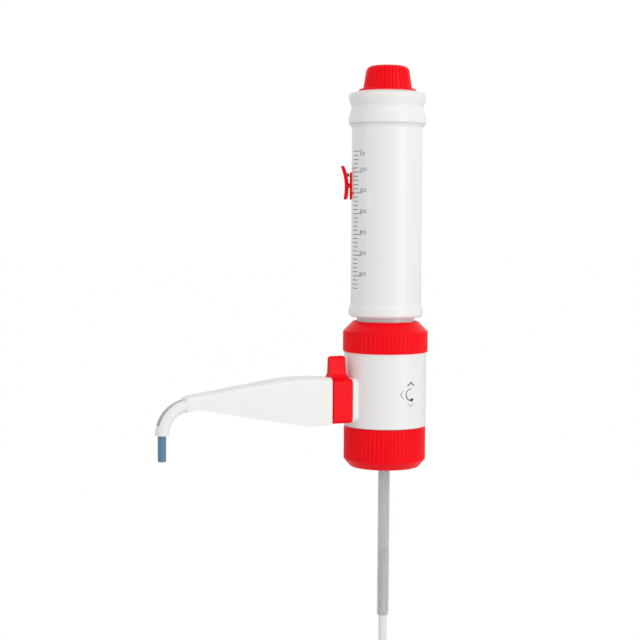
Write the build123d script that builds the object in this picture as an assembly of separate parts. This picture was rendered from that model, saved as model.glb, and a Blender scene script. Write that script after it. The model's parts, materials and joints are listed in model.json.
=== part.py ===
from build123d import *
import math
import os

# A bottle-top dispenser for a laboratory bottle with a 45 mm screw neck, in millimetres.
# +Z is the bottle's axis, the origin is on it at the height of the bottle's rim, and the nozzle points to -X.

# Clearances
PLAY = 0.3          # between pieces that pass each other
RUN_FIT = 0.06      # radial, on a shaft that turns or slides in its bore
SLIP = 0.05         # radial, between fixed pieces that push together
TOUCH = 0.02        # between pieces that rest on each other, such as a ball and its seat

# Union nut on the bottle neck
NECK_R = 22.8       # wall that the bottle's 45 mm thread enters
NUT_R = 28.1
NUT_DEPTH = 18.5    # below the rim
NUT_SHOULDER = 4.0
NUT_CHAMFER_H = 5.2
NUT_MOUTH_R = 23.6
NUT_RIM = 1.0       # smooth band above the flutes
GASKET_T = 2.0
GASKET_IN_R = 14.6
SEAT_FLANGE_T = 3.0
SEAT_FLANGE_R = 21.9
SEAT_HUB_R = 17.7
SEAT_STEM_R = 11.0
STEM_WALL = 0.6     # block left between the stem and the plug's bore

# Grips on the nuts and on the knob
FLUTES = 60
FLUTE_DEPTH = 0.5
FLUTE_R = 1.1       # hollow of one flute

# Valve housing
HOUSING_R = 28.2
HOUSING_H = 50.8
HOUSING_FLOOR = 4.0
HOUSING_WALL = 4.2
SPIGOT_STEP = 2.1   # spigot inside the housing's wall
SPIGOT_H = 10.0
BLOCK_RISE = 2.0    # block above the housing's shoulder
CHANNEL_R = 2.5
SIDE_PORT_R = 1.2
SIDE_PORT_X = 12.9
VENT_Z = 24.0
VENT_R = 4.0
VENT_HEAD_R = 5.5
VENT_DEPTH = 9.0

# Outlet, measured from the main axis towards the nozzle
OUTLET_Z = 28.6
BOSS_W = 21.0
BOSS_H = 29.5
BOSS_CORNER = 4.0
BOSS_OUT = 2.1      # boss outside the housing's wall
PLUG_START = 9.3
PLUG_R = 8.0
PLUG_PORT = 3.0     # cross port behind the plug's start
SEAL_GROOVE_W = 1.8
SEAL_GROOVE_T = 1.25
SEAL_WIRE_R = 0.62
SEAL_INSET = 2.5    # outer seal inside the block's wall
SEAL_START = 7.0    # inner seal behind the plug's start
PIPE_R = 5.0
PIPE_BORE_R = 3.3
PIPE_END_R = 4.0
PIPE_SCREW_L = 6.7  # past the nozzle's seat
KNOB_W = 19.0
KNOB_HALF_H = 15.1
KNOB_T = 14.0
KNOB_CORNER = 2.2
FIN_TOP = 30.0
FIN_HALF_T = 3.0
FIN_INSET = 1.5     # on the housing's side
FIN_BACK = 1.2      # on the nozzle's side
FIN_EDGE_R = 1.5
FIN_FLARE = 5.0

# Nozzle
COVER_GAP = 0.7
COVER_W = 17.5
COVER_TIP_W = 9.2
COVER_WALL = 1.8
COVER_SEAT_T = 3.0
COVER_TOP = 16.9    # above the outlet axis
COVER_LOW = 15.7    # below the outlet axis
COVER_EDGE_R = 3.2
COVER_STRAIGHT = 18.5
COVER_CREST = 22.0
COVER_EASING = 18.0
COVER_STEP = 2.0
COVER_CHIN = 3.5    # below the elbow's centre line
COVER_CHIN_BACK = 6.0
COVER_NOSE = 3.6    # end of the wedge past the start of the elbow
COVER_LIP = 0.45    # nose below the elbow's underside
COVER_ARCH = 0.7
COVER_SOLID_END = 26.0
COVER_REACH = 99.7  # from the knob to the start of the elbow
ELBOW_Z = 12.0
ELBOW_R = 18.75
ELBOW_T = 8.1
ELBOW_FROM = 8.0    # degrees past the top, where the round section starts
ELBOW_SLOT_W = 4.8
ELBOW_SLOT_FROM = 12.0
ELBOW_SLOT_TURN = 62.0
NOZZLE_NUT_FLATS = 11.0
NOZZLE_NUT_T = 4.0
TIP_COLLAR_H = 3.0
TIP_COLLAR_R = 4.3
TUBE_R = 2.7
TUBE_WALL = 0.9
TUBE_DROP = 17.0    # below the nozzle's tip
TUBE_GRIP = 5.0     # length held in the pipe
TUBE_CORNER = 0.2   # path's corner above the elbow's centre line
TUBE_EASE_R = 60.0
TUBE_LEVEL = 10.0   # level stretch past the pipe

# Filling valve and tubes
VALVE_BODY_R = 7.0
VALVE_BODY_TOP = 30.0
VALVE_BORE_R = 1.8
VALVE_CHAMBER_R = 4.2
SEAT_Z = 20.0
FILL_BALL_R = 3.0
BALL_LIFT = 1.2
CAGE_T = 2.0
CAGE_SLOTS = 3
CAGE_SLOT_R = 1.1
NIPPLE_R = 3.0
NIPPLE_L = 18.0
OUTER_TUBE_R = 4.0
OUTER_TUBE_LEN = 123.0
INNER_TUBE_R = 2.9
INNER_TUBE_WALL = 0.8
INNER_TUBE_TOP = -78.0
INNER_TUBE_LEN = 132.0
OUT_BALL_R = 2.0
OUT_SEAT_X = 15.0
SPRING_WIRE_R = 0.3

# Upper collar and the fixed guide
COLLAR_OUT = 0.9    # collar outside the housing's wall
COLLAR_SIDE_H = 14.1
COLLAR_CONE_H = 6.8
COLLAR_TOP_R = 22.4
GUARD_R = 19.6
GUARD_WALL = 2.0
GUARD_FLANGE_GAP = 0.5  # inside the spigot's wall
GUARD_FLANGE_T = 2.5
GUARD_TOP = 203.0
GUARD_RING_H = 4.0
GUARD_RING_LIP = 2.5
GUARD_LIP_R = 14.0
GLASS_BORE_R = 15.08
GLASS_WALL = 1.5
GLASS_SEAL_T = 2.0

# Piston
PISTON_H = 18.0
PISTON_RING_H = 2.0
PISTON_RING_T = 1.4
PISTON_RING_INSET = 3.0
PISTON_FLOOR = 5.0
ROD_R = 5.0
ROD_SCREW_R = 3.4
ROD_NUT_FLATS = 12.0
ROD_NUT_H = 4.5

# Lifting sleeve and grip cap
SLEEVE_GAP = 3.0
SLEEVE_R = 24.1
SLEEVE_WALL = 2.0
SLEEVE_H = 130.9
BEAD_R = 25.4
BEAD_H = 9.0
SLEEVE_LIP_H = 4.0
SPIGOT_IN_CAP = 5.6
SLOT_W = 5.0
FLARE_H = 2.4
FLARE_OUT = 1.3
SCALE_ZERO_Z = 196.5
SCALE_STROKE = 93.8
CAP_H = 22.3
CAP_R = 26.4
CAP_WAIST_R = 24.6
CAP_TOP_PLATE = 3.2
CAP_WALL = 1.9
CAP_RIM_H = 3.0
CAP_SLOPE = 1.1     # fall of the top's edge
DIAL_FLANGE_R = 19.5
DIAL_FLANGE_T = 1.4
DIAL_BASE_R = 16.7
DIAL_SHOULDER_R = 14.8
DIAL_TOP_R = 11.0
DIAL_H = 16.0
DIAL_SHOULDER_H = 4.2
DIAL_WALL = 2.4
DIAL_FLUTES = 36
DIAL_FLUTE_DEPTH = 0.7
DIAL_FLUTE_R = 0.8
SPINDLE_R = 2.0
SPINDLE_L = 26.0
SPINDLE_SHOULDER = 3.0

# Volume slider, on the side of the sleeve
SLIDER_ANGLE = 150.0
POINTER_Z = 168.6
POINTER_TURN = 24.2
CARRIAGE_T = 0.9
CARRIAGE_W = 10.4
CARRIAGE_LOW = 4.4      # below the pointer
CARRIAGE_HIGH = 14.0    # above the pointer
NECK_LOW = 3.0
NECK_HIGH = 12.0
PLATE_LOW = 6.0
PLATE_HIGH = 15.0
PLATE_T = 1.5
PLATE_W = 6.4
PIVOT_RISE = 5.2        # lever pin above the pointer
PIVOT_OUT = 2.9         # lever pin outside the sleeve
PIN_R = 0.8
EAR_T = 1.3
EAR_R = 1.5
LEVER_W = 10.0
LEVER_WAIST_W = 5.8
LEVER_T = 2.6
LEVER_TOP = 18.7        # above the pointer
LEVER_LOW = 4.8         # below the pointer
LEVER_TOP_OUT = 7.5     # outer face outside the sleeve
LEVER_MID_OUT = 4.5
LEVER_LOW_OUT = 5.4
SCREW_R = 0.8
SCREW_HEAD_R = 1.3
SCREW_HEAD_T = 0.5
SCREW_LOW = 1.0         # below the pointer
SCREW_HIGH = 9.6        # above the pointer
SPRING_RISE = 12.5      # lever spring above the pointer
SPRING_SEAT_OUT = 3.8   # floor of the lever's spring pocket, outside the sleeve
LEVER_SPRING_R = 1.1
LEVER_SPRING_TURNS = 2

# Heights that follow from the sizes above
Z_SEAT = GASKET_T
Z_NUT_IN = Z_SEAT + SEAT_FLANGE_T + PLAY
Z_NUT_TOP = Z_NUT_IN + NUT_SHOULDER
Z_BODY = Z_NUT_TOP + PLAY
Z_FLOOR = Z_BODY + HOUSING_FLOOR
Z_COLLAR = Z_BODY + HOUSING_H
Z_BLOCK = Z_COLLAR + BLOCK_RISE
Z_STEM = OUTLET_Z - PLUG_R - PLAY - STEM_WALL
Z_SPIGOT = Z_COLLAR + SPIGOT_H
Z_GUARD_FLANGE = Z_SPIGOT + GUARD_FLANGE_T
Z_COLLAR_SIDE = Z_COLLAR + COLLAR_SIDE_H
Z_COLLAR_TOP = Z_COLLAR_SIDE + COLLAR_CONE_H
Z_SLEEVE = Z_COLLAR_TOP + SLEEVE_GAP
Z_CAP = Z_SLEEVE + SLEEVE_H
Z_CAP_TOP = Z_CAP + CAP_H
Z_CAP_PLATE = Z_CAP_TOP - CAP_TOP_PLATE
Z_DIAL_FLANGE = Z_CAP_TOP + DIAL_FLANGE_T
Z_DIAL = Z_DIAL_FLANGE + PLAY
Z_DIAL_TOP = Z_DIAL_FLANGE + DIAL_H
Z_GLASS = Z_BLOCK + GLASS_SEAL_T
Z_PISTON = Z_BLOCK + 0.5
Z_PISTON_TOP = Z_PISTON + PISTON_H

# Radii and lengths that follow
SPIGOT_R = HOUSING_R - SPIGOT_STEP
COLLAR_R = HOUSING_R + COLLAR_OUT
GUARD_FLANGE_R = SPIGOT_R - GUARD_FLANGE_GAP
BOSS_END = HOUSING_R + BOSS_OUT
BLOCK_R = HOUSING_R - HOUSING_WALL - SLIP
SLEEVE_IN_R = SLEEVE_R - SLEEVE_WALL
GLASS_R = GLASS_BORE_R + GLASS_WALL
PISTON_R = GLASS_BORE_R - RUN_FIT
OUTER_TUBE_IN_R = INNER_TUBE_R + RUN_FIT + SLIP
PLUG_BORE_R = PIPE_R + RUN_FIT
BLOCK_BORE_R = PLUG_R + RUN_FIT + 0.04
KNOB_START = BOSS_END + PLAY
KNOB_END = KNOB_START + KNOB_T
COVER_START = KNOB_END + COVER_GAP
COVER_SEAT = COVER_START + COVER_SEAT_T
PIPE_END = COVER_SEAT + PIPE_SCREW_L
ELBOW_X = COVER_START + COVER_REACH
TIP_X = ELBOW_X + ELBOW_R


def turned(points):
    """A solid of revolution about Z from (radius, height) points."""
    return revolve(make_face(Plane.XZ * Polyline(points, close=True)), Axis.Z)


def ring(r_out, r_in, z_low, z_high):
    """A plain ring or tube."""
    return turned([(r_in, z_low), (r_out, z_low), (r_out, z_high), (r_in, z_high)])


def rod(radius, z_low, z_high):
    """An upright cylinder on the main axis."""
    return Pos(0, 0, z_low) * Cylinder(radius, z_high - z_low, align=(Align.CENTER, Align.CENTER, Align.MIN))


def flutes(radius, depth, count, hollow_r, z_low, z_high, lean=0):
    """Cutters round the axis; radius is the wall's at z_low, and lean tilts them inward as they rise."""
    cutter = rod(hollow_r, 0, (z_high - z_low) / math.cos(math.radians(lean)))
    cutter = Pos(radius + hollow_r - depth, 0, z_low) * Rot(0, -lean, 0) * cutter
    return [Rot(0, 0, 360 * i / count) * cutter for i in range(count)]


def toward_nozzle(shape):
    """Turn a shape built upright so that its height runs along -X from the main axis at the outlet."""
    return Pos(0, 0, OUTLET_Z) * Rot(0, -90, 0) * shape


def at_slider(shape):
    """Turn a shape built on the +X side to the slider's side."""
    return Rot(0, 0, SLIDER_ANGLE) * shape


def hex_nut(flats, bore_r, z_low, height):
    blank = extrude(RegularPolygon(flats / 2, 6, major_radius=False), height)
    return Pos(0, 0, z_low) * blank - rod(bore_r, z_low - 1, z_low + height + 1)


def bottle_collar():
    """Union nut, held by its inner shoulder; its thread wall is plain."""
    chamfer_top = -NUT_DEPTH + NUT_CHAMFER_H
    shoulder_r = SEAT_HUB_R + PLAY
    body = make_face([
        Line((NECK_R, -NUT_DEPTH), (NUT_MOUTH_R, -NUT_DEPTH)),
        ThreePointArc((NUT_MOUTH_R, -NUT_DEPTH), (NUT_R - 1.8, chamfer_top - 2.2), (NUT_R, chamfer_top)),
        Polyline(
            (NUT_R, chamfer_top),
            (NUT_R, Z_NUT_TOP - 0.6),
            (NUT_R - 0.6, Z_NUT_TOP),
            (shoulder_r, Z_NUT_TOP),
            (shoulder_r, Z_NUT_IN),
            (NECK_R, Z_NUT_IN),
            (NECK_R, -NUT_DEPTH),
        ),
    ])
    nut = revolve(Plane.XZ * body, Axis.Z)
    return nut - flutes(NUT_R, FLUTE_DEPTH, FLUTES, FLUTE_R, chamfer_top + NUT_RIM, Z_NUT_TOP - NUT_RIM)


def bottle_gasket():
    return ring(SEAT_FLANGE_R, GASKET_IN_R, 0, GASKET_T)


def side_port(x, z_low, z_high):
    return Pos(x, 0, 0) * rod(SIDE_PORT_R, z_low, z_high)


def seat_flange():
    body = turned([
        (VALVE_BODY_R + SLIP, Z_SEAT),
        (SEAT_FLANGE_R, Z_SEAT),
        (SEAT_FLANGE_R, Z_SEAT + SEAT_FLANGE_T),
        (SEAT_HUB_R, Z_SEAT + SEAT_FLANGE_T),
        (SEAT_HUB_R, Z_BODY),
        (SEAT_STEM_R, Z_BODY),
        (SEAT_STEM_R, Z_STEM),
        (VALVE_BODY_R + SLIP, Z_STEM),
    ])
    for x in (SIDE_PORT_X, -SIDE_PORT_X):
        body -= side_port(x, 0, Z_BODY + 1)
    return body


def valve_housing():
    shell = turned([
        (SEAT_STEM_R + SLIP, Z_BODY),
        (HOUSING_R - 0.5, Z_BODY),
        (HOUSING_R, Z_BODY + 0.5),
        (HOUSING_R, Z_COLLAR),
        (SPIGOT_R, Z_COLLAR),
        (SPIGOT_R, Z_SPIGOT),
        (HOUSING_R - HOUSING_WALL, Z_SPIGOT),
        (HOUSING_R - HOUSING_WALL, Z_FLOOR),
        (SEAT_STEM_R + SLIP, Z_FLOOR),
    ])
    outline = RectangleRounded(BOSS_H, BOSS_W, BOSS_CORNER)
    boss = toward_nozzle(Pos(0, 0, BLOCK_R) * extrude(outline, BOSS_END - BLOCK_R))
    boss = fillet(boss.faces().sort_by(Axis.X)[0].edges(), 0.8)
    shell += boss - rod(HOUSING_R - HOUSING_WALL, 0, Z_COLLAR)
    shell -= toward_nozzle(rod(PLUG_R + PLAY, BLOCK_R - 3, BOSS_END + 1))
    vent = toward_nozzle(rod(VENT_R + SLIP, -HOUSING_R - 1, -BLOCK_R + 3))
    shell -= vent.moved(Pos(0, 0, VENT_Z - OUTLET_Z))
    for x in (SIDE_PORT_X, -SIDE_PORT_X):
        shell -= side_port(x, Z_BODY - 1, Z_FLOOR + 1)
    return shell


def valve_block():
    block = rod(BLOCK_R, Z_FLOOR, Z_BLOCK)
    block -= rod(SEAT_STEM_R + SLIP, Z_FLOOR - 1, Z_STEM)
    block -= rod(VALVE_BODY_R + SLIP, Z_FLOOR - 1, VALVE_BODY_TOP + CAGE_T)
    block -= rod(CHANNEL_R, VALVE_BODY_TOP, Z_BLOCK + 1)
    block -= toward_nozzle(rod(BLOCK_BORE_R, PLUG_START - PLAY, BLOCK_R + 1))
    feed_rise = VALVE_BODY_TOP + CAGE_T + CHANNEL_R - OUTLET_Z
    block -= toward_nozzle(rod(SIDE_PORT_R, 0, PLUG_START + 1)).moved(Pos(0, 0, feed_rise))
    block -= toward_nozzle(rod(VENT_R + SLIP, -BLOCK_R - 1, VENT_DEPTH - BLOCK_R - 4)).moved(
        Pos(0, 0, VENT_Z - OUTLET_Z)
    )
    block -= side_port(SIDE_PORT_X, Z_FLOOR - 1, VENT_Z)
    block -= side_port(-SIDE_PORT_X, Z_FLOOR - 1, OUTLET_Z)
    return block


def vent_plug():
    """Air inlet at the back, pushed into the housing and the block."""
    stem_in = HOUSING_R - VENT_DEPTH
    body = toward_nozzle(rod(VENT_R, -HOUSING_R, -stem_in))
    head = toward_nozzle(rod(VENT_HEAD_R, -HOUSING_R - 2.2, -HOUSING_R + 0.6))
    head -= rod(HOUSING_R, 0, Z_COLLAR)
    body += fillet(head.faces().sort_by(Axis.X)[-1].edges(), 0.7)
    body -= toward_nozzle(rod(SIDE_PORT_R, -HOUSING_R - 3, -stem_in + 1))
    slot = Pos(HOUSING_R + 2.2, 0, OUTLET_Z) * Box(1.6, 2 * VENT_HEAD_R, 1.4)
    return (body - slot).moved(Pos(0, 0, VENT_Z - OUTLET_Z))


def filling_valve_seat():
    return turned([
        (VALVE_BORE_R, -NIPPLE_L),
        (NIPPLE_R - 0.4, -NIPPLE_L),
        (NIPPLE_R, -NIPPLE_L + 1.5),
        (NIPPLE_R, Z_SEAT),
        (VALVE_BODY_R, Z_SEAT),
        (VALVE_BODY_R, VALVE_BODY_TOP),
        (VALVE_CHAMBER_R, VALVE_BODY_TOP),
        (VALVE_CHAMBER_R, SEAT_Z + VALVE_CHAMBER_R - VALVE_BORE_R),
        (VALVE_BORE_R, SEAT_Z),
    ])


def fill_ball_z():
    """Height of the ball's centre when it rests in its 45 degree seat."""
    return SEAT_Z - VALVE_BORE_R + FILL_BALL_R * math.sqrt(2) + TOUCH


def filling_ball():
    return Pos(0, 0, fill_ball_z()) * Sphere(FILL_BALL_R)


def filling_ball_cage():
    stop = fill_ball_z() + FILL_BALL_R + BALL_LIFT + PLAY
    top = VALVE_BODY_TOP + CAGE_T
    cage = rod(VALVE_BODY_R, VALVE_BODY_TOP, top) + rod(VALVE_CHAMBER_R - SLIP, stop, VALVE_BODY_TOP)
    cage -= rod(VALVE_BORE_R, stop - 1, top + 1)
    for i in range(CAGE_SLOTS):
        slot = Pos(VALVE_BORE_R, 0, 0) * rod(CAGE_SLOT_R, stop - 1, top + 1)
        cage -= Rot(0, 0, 360 * i / CAGE_SLOTS) * slot
    return cage


def filling_tube_upper():
    return ring(OUTER_TUBE_R, OUTER_TUBE_IN_R, -OUTER_TUBE_LEN, Z_SEAT - 0.5)


def filling_tube_lower():
    """White inner tube with its foot cut at an angle."""
    low = INNER_TUBE_TOP - INNER_TUBE_LEN
    tube = ring(INNER_TUBE_R, INNER_TUBE_R - INNER_TUBE_WALL, low, INNER_TUBE_TOP)
    wedge = Pos(0, 0, low) * Rot(0, 35, 0) * Box(6 * INNER_TUBE_R, 6 * INNER_TUBE_R, 4 * INNER_TUBE_R, align=(
        Align.CENTER, Align.CENTER, Align.MAX
    ))
    return tube - wedge


def outlet_pipe():
    pipe = rod(PIPE_R, PLUG_START - PLAY, COVER_START) + rod(PIPE_END_R, COVER_START, PIPE_END)
    pipe -= rod(PIPE_BORE_R, PLUG_START - PLAY - 1, KNOB_START)
    pipe -= rod(OUT_BALL_R, KNOB_START - 1, KNOB_END)
    pipe -= rod(TUBE_R + SLIP / 2, KNOB_END, PIPE_END + 1)
    pipe -= Pos(0, 0, PLUG_START + PLUG_PORT) * Rot(0, 90, 0) * Cylinder(SIDE_PORT_R, 2 * PIPE_R + 2)
    return toward_nozzle(pipe)


def valve_plug():
    plug = ring(PLUG_R, PLUG_BORE_R, PLUG_START, KNOB_START)
    for middle in seal_places():
        low = middle - SEAL_GROOVE_W / 2
        plug -= ring(PLUG_R + 1, PLUG_R - SEAL_GROOVE_T, low, low + SEAL_GROOVE_W)
    plug -= Pos(0, 0, PLUG_START + PLUG_PORT) * Rot(0, 90, 0) * Cylinder(SIDE_PORT_R, 3 * PLUG_R)
    return toward_nozzle(plug)


def seal_places():
    return (PLUG_START + SEAL_START, BLOCK_R - SEAL_INSET)


def plug_seals():
    major = PLUG_R - SEAL_GROOVE_T + SEAL_WIRE_R + TOUCH
    rings = []
    for middle in seal_places():
        rings.append(toward_nozzle(Pos(0, 0, middle) * Torus(major, SEAL_WIRE_R)))
    return Compound(rings)


def discharge_valve_seat():
    seat = turned([
        (SIDE_PORT_R, OUT_SEAT_X),
        (PIPE_BORE_R - SLIP, OUT_SEAT_X),
        (PIPE_BORE_R - SLIP, OUT_SEAT_X + 3.5),
        (SIDE_PORT_R + 1.5, OUT_SEAT_X + 3.5),
        (SIDE_PORT_R, OUT_SEAT_X + 2),
    ])
    return toward_nozzle(seat)


def out_ball_x():
    return OUT_SEAT_X + 2 - SIDE_PORT_R + OUT_BALL_R * math.sqrt(2) + TOUCH


def discharge_ball():
    return toward_nozzle(Pos(0, 0, out_ball_x()) * Sphere(OUT_BALL_R - 0.001))


def coil(radius, length, turns):
    path = Helix(length / turns, length, radius)
    start = Plane(origin=path @ 0, z_dir=path % 0)
    return sweep(start * Circle(SPRING_WIRE_R), path)


def discharge_spring():
    low = out_ball_x() + OUT_BALL_R + SPRING_WIRE_R
    high = KNOB_START - SPRING_WIRE_R - TOUCH
    radius = PIPE_BORE_R - SPRING_WIRE_R - 0.5
    return toward_nozzle(Pos(0, 0, low) * coil(radius, high - low, 4))


def valve_knob():
    """Block with rounded ends and a thumb fin, trimmed from two outlines at right angles."""
    half_w = KNOB_W / 2
    shoulder = KNOB_HALF_H - 0.6
    fin_foot = KNOB_HALF_H + FIN_FLARE
    front = make_face([
        Line((-half_w + KNOB_CORNER, -KNOB_HALF_H), (half_w - KNOB_CORNER, -KNOB_HALF_H)),
        RadiusArc((half_w - KNOB_CORNER, -KNOB_HALF_H), (half_w, -KNOB_HALF_H + KNOB_CORNER), -KNOB_CORNER),
        Line((half_w, -KNOB_HALF_H + KNOB_CORNER), (half_w, shoulder - KNOB_CORNER)),
        RadiusArc((half_w, shoulder - KNOB_CORNER), (half_w - KNOB_CORNER, shoulder), -KNOB_CORNER),
        ThreePointArc(
            (half_w - KNOB_CORNER, shoulder),
            (FIN_HALF_T + 1.3, KNOB_HALF_H + 1.4),
            (FIN_HALF_T, fin_foot),
        ),
        Line((FIN_HALF_T, fin_foot), (FIN_HALF_T - 0.4, FIN_TOP - FIN_HALF_T)),
        ThreePointArc(
            (FIN_HALF_T - 0.4, FIN_TOP - FIN_HALF_T), (0, FIN_TOP), (0.4 - FIN_HALF_T, FIN_TOP - FIN_HALF_T)
        ),
        Line((0.4 - FIN_HALF_T, FIN_TOP - FIN_HALF_T), (-FIN_HALF_T, fin_foot)),
        ThreePointArc(
            (-FIN_HALF_T, fin_foot),
            (-FIN_HALF_T - 1.3, KNOB_HALF_H + 1.4),
            (-half_w + KNOB_CORNER, shoulder),
        ),
        RadiusArc((-half_w + KNOB_CORNER, shoulder), (-half_w, shoulder - KNOB_CORNER), -KNOB_CORNER),
        Line((-half_w, shoulder - KNOB_CORNER), (-half_w, -KNOB_HALF_H + KNOB_CORNER)),
        RadiusArc((-half_w, -KNOB_HALF_H + KNOB_CORNER), (-half_w + KNOB_CORNER, -KNOB_HALF_H), -KNOB_CORNER),
    ])
    inset = FIN_INSET
    front_edge = KNOB_START + inset + 0.4
    back_edge = KNOB_END - FIN_BACK
    side = make_face([
        Polyline(
            (KNOB_END, KNOB_HALF_H - 0.6),
            (KNOB_END, -KNOB_HALF_H),
            (KNOB_START, -KNOB_HALF_H),
            (KNOB_START, KNOB_HALF_H - 0.6),
        ),
        ThreePointArc(
            (KNOB_START, KNOB_HALF_H - 0.6),
            (KNOB_START + 0.7 * inset, KNOB_HALF_H + 1.6),
            (KNOB_START + inset, fin_foot),
        ),
        Line((KNOB_START + inset, fin_foot), (front_edge, FIN_TOP - FIN_EDGE_R)),
        RadiusArc((front_edge, FIN_TOP - FIN_EDGE_R), (front_edge + FIN_EDGE_R, FIN_TOP), FIN_EDGE_R),
        Line((front_edge + FIN_EDGE_R, FIN_TOP), (back_edge - FIN_EDGE_R, FIN_TOP)),
        RadiusArc((back_edge - FIN_EDGE_R, FIN_TOP), (back_edge, FIN_TOP - FIN_EDGE_R), FIN_EDGE_R),
        Line((back_edge, FIN_TOP - FIN_EDGE_R), (back_edge, fin_foot)),
        ThreePointArc(
            (back_edge, fin_foot),
            (back_edge + FIN_BACK / 4, KNOB_HALF_H + 1.6),
            (KNOB_END, KNOB_HALF_H - 0.6),
        ),
    ])
    # front: width along Y and height along Z; side: distance along -X and height along Z
    front_plane = Plane(origin=(0, 0, OUTLET_Z), x_dir=(0, 1, 0), z_dir=(1, 0, 0))
    side_plane = Plane(origin=(0, 0, OUTLET_Z), x_dir=(-1, 0, 0), z_dir=(0, 1, 0))
    block = extrude(front_plane * front, -KNOB_END - 1) & extrude(side_plane * side, KNOB_W, both=True)
    block -= toward_nozzle(rod(PLUG_BORE_R, KNOB_START - 1, KNOB_END + 1))
    return block


def cover_outline():
    """Side view of the nozzle's wedge, as (distance from the main axis, height)."""
    top = OUTLET_Z + COVER_TOP
    low = OUTLET_Z - COVER_LOW
    crest = COVER_START + COVER_CREST
    end_top = ELBOW_Z + ELBOW_R + ELBOW_T / 2 + COVER_STEP
    slope = (top - end_top) / (ELBOW_X - crest - COVER_EASING / 2)
    bend = (crest + COVER_EASING, top - slope * COVER_EASING / 2)
    nose = ELBOW_X + COVER_NOSE
    chin = (ELBOW_X - COVER_CHIN_BACK, ELBOW_Z + ELBOW_R - COVER_CHIN)
    nose_low = ELBOW_Z + ELBOW_R - ELBOW_T / 2 - COVER_LIP
    return make_face([
        Line((COVER_START, low), (COVER_START, top - 0.9)),
        TangentArc((crest, top), (COVER_START, top - 0.9), tangent=(-1, 0)),
        TangentArc((crest, top), bend, tangent=(1, 0)),
        Line(bend, (ELBOW_X, end_top)),
        Line((ELBOW_X, end_top), (nose, end_top - COVER_STEP + 0.2)),
        Line((nose, end_top - COVER_STEP + 0.2), (nose, nose_low)),
        ThreePointArc((nose, nose_low), (ELBOW_X - 0.5, nose_low + COVER_ARCH), chin),
        Line(chin, (COVER_START + COVER_STRAIGHT, low)),
        Line((COVER_START + COVER_STRAIGHT, low), (COVER_START, low)),
    ])


def cover_plan(start, trim):
    """Plan of the wedge, straight and then narrowing to the elbow; trim takes a wall off each side."""
    bend = COVER_START + COVER_STRAIGHT
    end = ELBOW_X + 5
    wide = COVER_W / 2 - trim
    narrow = COVER_TIP_W / 2 - trim
    return make_face(Polyline(
        (-start, -wide),
        (-start, wide),
        (-bend, wide),
        (-end, narrow),
        (-end, -narrow),
        (-bend, -wide),
        close=True,
    ))


def tube_path():
    """Centre line of the discharge tube, level in the pipe and then rising a little to the elbow."""
    return FilletPolyline(
        (-(PIPE_END - TUBE_GRIP), 0, OUTLET_Z),
        (-(PIPE_END + TUBE_LEVEL), 0, OUTLET_Z),
        (-TIP_X, 0, ELBOW_Z + ELBOW_R + TUBE_CORNER),
        (-TIP_X, 0, ELBOW_Z - TUBE_DROP),
        radius=[TUBE_EASE_R, ELBOW_R],
    )


def along_tube(section):
    path = tube_path()
    return sweep(Plane(origin=path @ 0, z_dir=path % 0) * section, path)


def discharge_tube():
    tube = along_tube(Circle(TUBE_R) - Circle(TUBE_R - TUBE_WALL))
    tip = tube.faces().sort_by(Axis.Z)[0]
    return chamfer(tip.edges().sort_by(SortBy.RADIUS)[-1], 0.5)


def elbow_section(width, reach_in, reach_out, corner):
    """A section across the elbow, from reach_in inside its centre line to reach_out outside it."""
    plane = Plane(origin=(-ELBOW_X, 0, ELBOW_Z + ELBOW_R), x_dir=(0, -1, 0), z_dir=(-1, 0, 0))
    outline = RectangleRounded(width, reach_in + reach_out, corner)
    return plane * Pos(0, (reach_out - reach_in) / 2) * outline


def nozzle_cover():
    side = Plane(origin=(0, 0, 0), x_dir=(-1, 0, 0), z_dir=(0, 1, 0))
    bend_axis = Axis((-ELBOW_X, 0, ELBOW_Z), (0, -1, 0))
    cover = extrude(side * cover_outline(), COVER_W, both=True)
    cover &= extrude(cover_plan(COVER_START, 0), Z_COLLAR)
    long_edges = [e for e in cover.edges() if abs(e.center().Y) > 1 and e.center().X < -COVER_START - 1]
    cover = fillet([e for e in long_edges if e.center().Z > OUTLET_Z + 8], COVER_EDGE_R)
    half = ELBOW_T / 2
    elbow = revolve(elbow_section(COVER_TIP_W, half, half, 3.4), bend_axis, 90 - ELBOW_FROM)
    cover += elbow.rotate(bend_axis, ELBOW_FROM)
    tip = rod(TIP_COLLAR_R, ELBOW_Z, ELBOW_Z + TIP_COLLAR_H)
    cover += Pos(-TIP_X, 0, 0) * chamfer(tip.faces().sort_by(Axis.Z)[0].edges(), 0.7)

    # the hollow underside, a hole for the pipe, and the channel that holds the tube
    high = OUTLET_Z + COVER_TOP - COVER_WALL
    low = OUTLET_Z - COVER_LOW - 1
    end = ELBOW_X - COVER_SOLID_END
    end_high = ELBOW_Z + ELBOW_R + ELBOW_T / 2 + COVER_STEP - COVER_WALL + 2
    hollow = make_face(Polyline(
        (COVER_SEAT, low),
        (COVER_SEAT, high - 1),
        (COVER_START + COVER_CREST, high - 0.2),
        (end, end_high),
        (end, low),
        close=True,
    ))
    inside = extrude(side * hollow, COVER_W, both=True)
    cover -= inside & extrude(cover_plan(COVER_SEAT, COVER_WALL), Z_COLLAR)
    cover -= toward_nozzle(rod(PIPE_END_R + SLIP, COVER_START - 1, COVER_SEAT + 1))
    cover -= along_tube(Circle(TUBE_R + SLIP))
    slot = revolve(elbow_section(ELBOW_SLOT_W, 0, half + 2, 0.2), bend_axis, ELBOW_SLOT_TURN)
    return cover - slot.rotate(bend_axis, ELBOW_SLOT_FROM)


def nozzle_nut():
    return toward_nozzle(hex_nut(NOZZLE_NUT_FLATS, PIPE_END_R + SLIP, COVER_SEAT, NOZZLE_NUT_T))


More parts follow.
